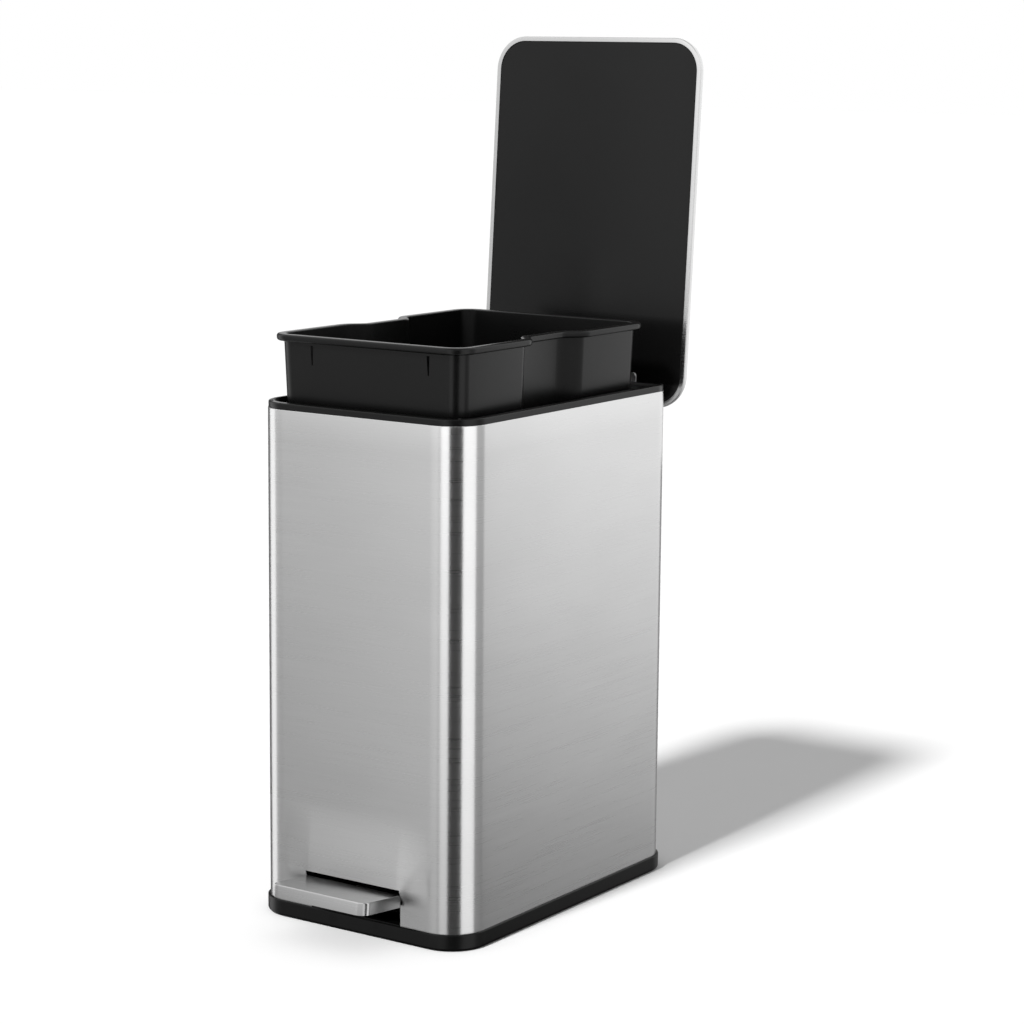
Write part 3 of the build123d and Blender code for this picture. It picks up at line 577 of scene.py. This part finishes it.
# %% Bucket
RIM_LOW, BUCKET_HIGH = [Vector(corner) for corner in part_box("bucket_rim")]
BUCKET_LOW = Vector((RIM_LOW.x, RIM_LOW.y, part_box("bucket")[0][2]))
RIM_OVERHANG = 5.5 * MM
RIM_HEIGHT = 5.4 * MM
RIM_ROUND = 2.0 * MM
RIM_COVER = 1.0 * MM
BUCKET_WALL = 2.2 * MM
BUCKET_CORNER = 14.5 * MM
BUCKET_DRAFT = math.tan(math.radians(1.85))
WAIST_DEPTH = 12 * MM
WAIST_HALF = 25 * MM
WAIST_RUN = 13 * MM
WAIST_ROUND = 4.5 * MM
BUCKET_INSET = 1.2 * MM
INSET_SLANT = 0.4
BUCKET_FOOT_ROUND = 5 * MM
END_DRAFT_FROM, END_DRAFT_RUN = 50 * MM, 30 * MM
SLIT_X = (-52 * MM, 57 * MM)
SLIT_TOP, SLIT_FOOT = 449 * MM, 434 * MM
SLIT_HALF, SLIT_FOOT_HALF = 1.3 * MM, 0.5 * MM
BUCKET_Y = (BUCKET_LOW.y + BUCKET_HIGH.y) / 2


def waist_block(name, low_z, high_z):
    half_x = (BUCKET_HIGH.x - BUCKET_LOW.x) / 2 - RIM_OVERHANG - BUCKET_INSET
    half_y = (BUCKET_HIGH.y - BUCKET_LOW.y) / 2 - RIM_OVERHANG - BUCKET_INSET
    corner = BUCKET_CORNER - BUCKET_INSET
    waist = WAIST_HALF + BUCKET_INSET * INSET_SLANT
    block = add_block(name, (-half_x, BUCKET_Y - half_y, low_z), (half_x, BUCKET_Y + half_y, high_z))
    round_edges(block, is_upright, corner, 12)
    for side in (-1, 1):
        for reach in (waist, waist + WAIST_RUN):
            cut(block, (0, BUCKET_Y + side * reach, 0), (0, 1, 0))
    for vertex in block.data.vertices:
        if abs(vertex.co.y - BUCKET_Y) < waist + TOUCH:
            vertex.co.x -= math.copysign(WAIST_DEPTH, vertex.co.x)
    straight = half_y - corner - 1 * MM
    round_edges(block, lambda edge: is_upright(edge) and abs(middle(edge).y - BUCKET_Y) < straight,
                WAIST_ROUND, 6)
    return block


def taper(piece, top):
    """Draws the lower part in by the mould's draft, on the long sides and, away from the middle, on the ends."""
    for vertex in piece.data.vertices:
        inset = (top - vertex.co.z) * BUCKET_DRAFT
        reach = vertex.co.y - BUCKET_Y
        share = min(max((abs(reach) - END_DRAFT_FROM) / END_DRAFT_RUN, 0.0), 1.0)
        vertex.co.x -= math.copysign(inset, vertex.co.x)
        vertex.co.y -= math.copysign(inset * share, reach)


def cut_slit(walls, x):
    """A narrow slit in the front wall under the rim, for the liner's end: wide at the top, pointed below."""
    wedge = add_block("slit", (x - SLIT_HALF, BUCKET_LOW.y - 1 * MM, SLIT_FOOT),
                      (x + SLIT_HALF, BUCKET_LOW.y + 14 * MM, SLIT_TOP))
    for vertex in wedge.data.vertices:
        if vertex.co.z < SLIT_FOOT + 1 * MM:
            vertex.co.x = x + math.copysign(SLIT_FOOT_HALF, vertex.co.x - x)
    apply_modifier(walls, "BOOLEAN", operation="DIFFERENCE", object=wedge)
    bpy.data.objects.remove(wedge)


def make_bucket():
    walls = waist_block("bucket_walls", BUCKET_LOW.z, BUCKET_HIGH.z - RIM_COVER)
    drop_faces(walls, lambda face: face.normal.z > 0.9)
    taper(walls, BUCKET_HIGH.z)
    round_edges(walls, lambda edge: all(v.co.z < BUCKET_LOW.z + TOUCH for v in edge.verts)
                and any(abs(face.normal.z) < 0.3 for face in edge.link_faces), BUCKET_FOOT_ROUND, 4)
    apply_modifier(walls, "SOLIDIFY", thickness=BUCKET_WALL, offset=-1)
    for x in SLIT_X:
        cut_slit(walls, x)
    finish_piece(walls, BUCKET_PLASTIC, "inner_bucket", "bucket_plastic", "bucket")


def make_bucket_rim():
    rim = waist_block("bucket_rim", BUCKET_HIGH.z - RIM_HEIGHT, BUCKET_HIGH.z)
    drop_faces(rim, lambda face: not is_wall(face))
    thickness = RIM_OVERHANG + BUCKET_WALL
    apply_modifier(rim, "SOLIDIFY", thickness=thickness, offset=RIM_OVERHANG / thickness * 2 - 1)
    apply_modifier(rim, "BEVEL", width=RIM_ROUND, segments=4, limit_method="ANGLE",
                   angle_limit=math.radians(50))
    finish_piece(rim, BUCKET_PLASTIC, "inner_bucket", "bucket_plastic", "bucket_rim")


make_bucket()
make_bucket_rim()

# %% [markdown]
# The pedal's cap is a steel tray turned upside down: rounded front corners, a soft bright edge all round
# the tread, and the hollow underneath filled by the plastic core.

# %% Pedal cap
PEDAL_HALF = 44.75 * MM
PEDAL_BACK = Vector((0, -152 * MM, 38.8 * MM))
PEDAL_SLOPE = math.radians(5.7)
PEDAL_LENGTH = 46.2 * MM
PEDAL_THICK = 10 * MM
PEDAL_CORNER = 8 * MM
PEDAL_EDGE = 1.3 * MM
PEDAL_SKIN = 1.0 * MM


def make_pedal_cap():
    cap = add_block("pedal_cap", (-PEDAL_HALF, -PEDAL_LENGTH, -PEDAL_THICK), (PEDAL_HALF, 0, 0))
    round_edges(cap, lambda edge: is_upright(edge) and middle(edge).y < -PEDAL_LENGTH / 2, PEDAL_CORNER, 10)
    hollow_from_below(cap, PEDAL_SKIN, PEDAL_THICK - PEDAL_SKIN)
    round_edges(cap, lambda edge: is_level(edge, 0) and any(map(is_wall, edge.link_faces)), PEDAL_EDGE, 3)
    tilt_into_place(cap, PEDAL_SLOPE, PEDAL_BACK)
    finish_piece(cap, PEDAL_STEEL, "pedal", "pedal_steel", "pedal_plate")


make_pedal_cap()

# %% [markdown]
# The studio: a white floor and world, and a sun from the front left for the cast shadow. What the steel
# reflects is a ring of cards that only mirrors see. Each card is dim at its foot and bright at its head.
# Narrow strips stand close round three upright corners of the body. At the near corner they run white, black and
# white again, so that corner has a dark line between two bright ones; the left corner has a dark and a white
# strip, and the rear corner a dark one. The flat walls keep an even grey.

# %% Studio
RING_RADIUS = 0.9
RING_LOW, RING_HIGH = -1.2, 1.8
RING_FADE = (-0.28, 0.30)
RING_CAP = 1.3
UNDER_LEVEL, ABOVE_LEVEL = 0.05, 0.65

# name, azimuths from and to in degrees, strength at foot and head, share at the first and last azimuth
CARDS = [
    ("card_left", -160, -69, 0.45, 0.80, 1.0, 1.0),
    ("card_front_far", -69, -39, 0.36, 0.68, 1.0, 1.0),
    ("card_front", -39, -24, 0.36, 0.68, 1.0, 1.45),
    ("card_front_near", -24, -4, 0.53, 0.98, 1.0, 1.1),
    ("card_corner", -4, 127, 0.45, 0.85, 1.0, 1.0),
    ("card_right_near", 127, 139, 0.26, 1.27, 0.78, 1.0),
    ("card_right", 139, 176, 0.26, 1.27, 1.0, 1.0),
    ("card_rear", 176, 200, 0.40, 0.80, 1.0, 1.0)]

STRIP_RADIUS = 0.10
STRIP_LOW, STRIP_HIGH, REAR_STRIP_HIGH = -0.06, 0.52, 0.33
STRIP_FADE = (0.0, 0.40)
STRIP_CAP = 1.7
CORNER_X, CORNER_Y = 70 * MM, 121 * MM

# name, corner, azimuths from and to in degrees, strength at foot and head
STRIPS = [
    ("strip_left_flag", (-1, -1), -123, -86, 0.12, 0.18),
    ("strip_left", (-1, -1), -86, -57, 1.25, 1.42),
    ("strip_near_left", (1, -1), 3, 24.5, 0.84, 1.68),
    ("strip_near_flag", (1, -1), 24.5, 60, 0.05, 0.05),
    ("strip_near_right", (1, -1), 60, 97, 1.22, 1.60),
    ("strip_near_step", (1, -1), 97, 125, 0.32, 0.62),
    ("strip_rear_flag", (1, 1), 160, 183, 0.25, 0.35)]

FLOOR_SIZE, FLOOR_WHITE = 40, 0.93
WORLD_LEVEL = 0.43
SUN_STRENGTH, SUN_AZIMUTH, SUN_ELEVATION, SUN_SOFTNESS = 3.2, -1.5, 42.1, 7


def light_material(name):
    material = bpy.data.materials.new(name)
    material.use_nodes = True
    tree = material.node_tree
    tree.nodes.remove(tree.nodes["Principled BSDF"])
    light = tree.nodes.new("ShaderNodeEmission")
    tree.links.new(light.outputs[0], tree.nodes["Material Output"].inputs["Surface"])
    return material, light


def map_range(tree, value, source, target, clamp):
    node = tree.nodes.new("ShaderNodeMapRange")
    for key, number in zip(("From Min", "From Max", "To Min", "To Max"), (*source, *target)):
        node.inputs[key].default_value = number
    node.clamp = clamp
    tree.links.new(value, node.inputs["Value"])
    return node.outputs[0]


def card_material(name, span, levels, ends, fade_span, cap):
    """A light whose strength rises from foot to head and changes from one end to the other."""
    material, light = light_material(name)
    tree = material.node_tree
    place = tree.nodes.new("ShaderNodeTexCoord")
    split = tree.nodes.new("ShaderNodeSeparateXYZ")
    tree.links.new(place.outputs["Object"], split.inputs[0])
    fade = map_range(tree, split.outputs["Z"], fade_span, levels, False)
    toward_front = math_node(tree, "MULTIPLY", split.outputs["Y"], -1.0)
    azimuth = math_node(tree, "ARCTAN2", split.outputs["X"], toward_front)
    along = map_range(tree, azimuth, [math.radians(angle) for angle in span], ends, True)
    lit = math_node(tree, "MINIMUM", math_node(tree, "MAXIMUM", fade, 0.0), cap)
    tree.links.new(math_node(tree, "MULTIPLY", lit, along), light.inputs["Strength"])
    return material


def show_to_mirrors_only(card):
    card.visible_camera = False
    card.visible_diffuse = False
    card.visible_shadow = False
    card.visible_transmission = False


def add_arc(name, radius, low, high, start, end, material):
    """A part of an upright cylinder round the origin, from one azimuth to another, seen by mirrors only."""
    bpy.ops.object.select_all(action="DESELECT")
    bpy.ops.mesh.primitive_cylinder_add(vertices=720, radius=radius, depth=high - low,
                                        end_fill_type="NOTHING", location=(0, 0, (high + low) / 2))
    card = bpy.context.object
    card.name = name
    bpy.ops.object.transform_apply(location=True)

    def outside(face):
        spot = middle(face)
        azimuth = math.degrees(math.atan2(spot.x, -spot.y))
        return not any(start < azimuth + turn < end for turn in (-360, 0, 360))

    drop_faces(card, outside)
    card.data.materials.append(material)
    show_to_mirrors_only(card)
    return card


def add_card(name, start, end, low_level, high_level, start_share, end_share):
    material = card_material(name, (start, end), (low_level, high_level), (start_share, end_share),
                             RING_FADE, RING_CAP)
    add_arc(name, RING_RADIUS, RING_LOW, RING_HIGH, start, end, material)


def add_strip(name, corner, start, end, low_level, high_level):
    """A narrow card that follows one upright corner of the body, so that only this corner mirrors it."""
    material = card_material(name, (start, end), (low_level, high_level), (1, 1), STRIP_FADE, STRIP_CAP)
    high = STRIP_HIGH if corner[1] < 0 else REAR_STRIP_HIGH
    strip = add_arc(name, STRIP_RADIUS, STRIP_LOW, high, start, end, material)
    strip.location = (corner[0] * CORNER_X, corner[1] * CORNER_Y, 0)


def add_disc(name, height, strength):
    """Closes the ring of cards above or below."""
    bpy.ops.object.select_all(action="DESELECT")
    bpy.ops.mesh.primitive_circle_add(vertices=90, radius=RING_RADIUS, fill_type="NGON",
                                      location=(0, 0, height))
    card = bpy.context.object
    card.name = name
    material, light = light_material(name)
    light.inputs["Strength"].default_value = strength
    card.data.materials.append(material)
    show_to_mirrors_only(card)


def add_floor():
    bpy.ops.object.select_all(action="DESELECT")
    bpy.ops.mesh.primitive_plane_add(size=FLOOR_SIZE, location=(0, 0, 0))
    floor = bpy.context.object
    floor.name = "floor"
    material = bpy.data.materials.new("floor_white")
    material.use_nodes = True
    shader = material.node_tree.nodes["Principled BSDF"]
    shader.inputs["Base Color"].default_value = grey(FLOOR_WHITE)
    shader.inputs["Roughness"].default_value = 1.0
    shader.inputs["Specular IOR Level"].default_value = 0.0
    floor.data.materials.append(material)
    floor.visible_glossy = False


def set_world(level):
    """A world that is plain white to the camera and to mirrors, and lights the part at a lower level."""
    world = bpy.data.worlds.new("studio")
    bpy.context.scene.world = world
    world.use_nodes = True
    tree = world.node_tree
    light = tree.nodes["Background"]
    rays = tree.nodes.new("ShaderNodeLightPath")
    through = math_node(tree, "MAXIMUM", rays.outputs["Is Glossy Ray"], rays.outputs["Is Transmission Ray"])
    seen = math_node(tree, "MAXIMUM", rays.outputs["Is Camera Ray"], through)
    strength = math_node(tree, "ADD", math_node(tree, "MULTIPLY", seen, 1.0 - level), level)
    tree.links.new(strength, light.inputs["Strength"])
    light.inputs["Color"].default_value = (1, 1, 1, 1)


def add_sun(strength, azimuth, elevation, softness):
    """A sun that lights and casts the shadow, but leaves no highlight on the steel."""
    data = bpy.data.lights.new("sun", "SUN")
    data.energy = strength
    data.angle = math.radians(softness)
    sun = bpy.data.objects.new("sun", data)
    sun.visible_glossy = False
    a, e = math.radians(azimuth), math.radians(elevation)
    towards = Vector((math.sin(a) * math.cos(e), -math.cos(a) * math.cos(e), math.sin(e)))
    sun.matrix_world = towards.to_track_quat("Z", "Y").to_matrix().to_4x4()
    bpy.context.scene.collection.objects.link(sun)


for card in CARDS:
    add_card(*card)
for strip in STRIPS:
    add_strip(*strip)
add_disc("card_under", RING_LOW, UNDER_LEVEL)
add_disc("card_above", RING_HIGH, ABOVE_LEVEL)
add_floor()
set_world(WORLD_LEVEL)
add_sun(SUN_STRENGTH, SUN_AZIMUTH, SUN_ELEVATION, SUN_SOFTNESS)

# %% [markdown]
# The photographed shadow on the floor is that of the body and the bucket alone, so the lid and the pedal
# cast none.

# %% Shadows
for name in ("lid_skin", "lid_panel", "pedal_cap"):
    bpy.data.objects[name].visible_shadow = False
for name in ("lid_cover", "lid_inner_panel", "pedal_core", "pedal_plate"):
    frame["nodes"][name].visible_shadow = False
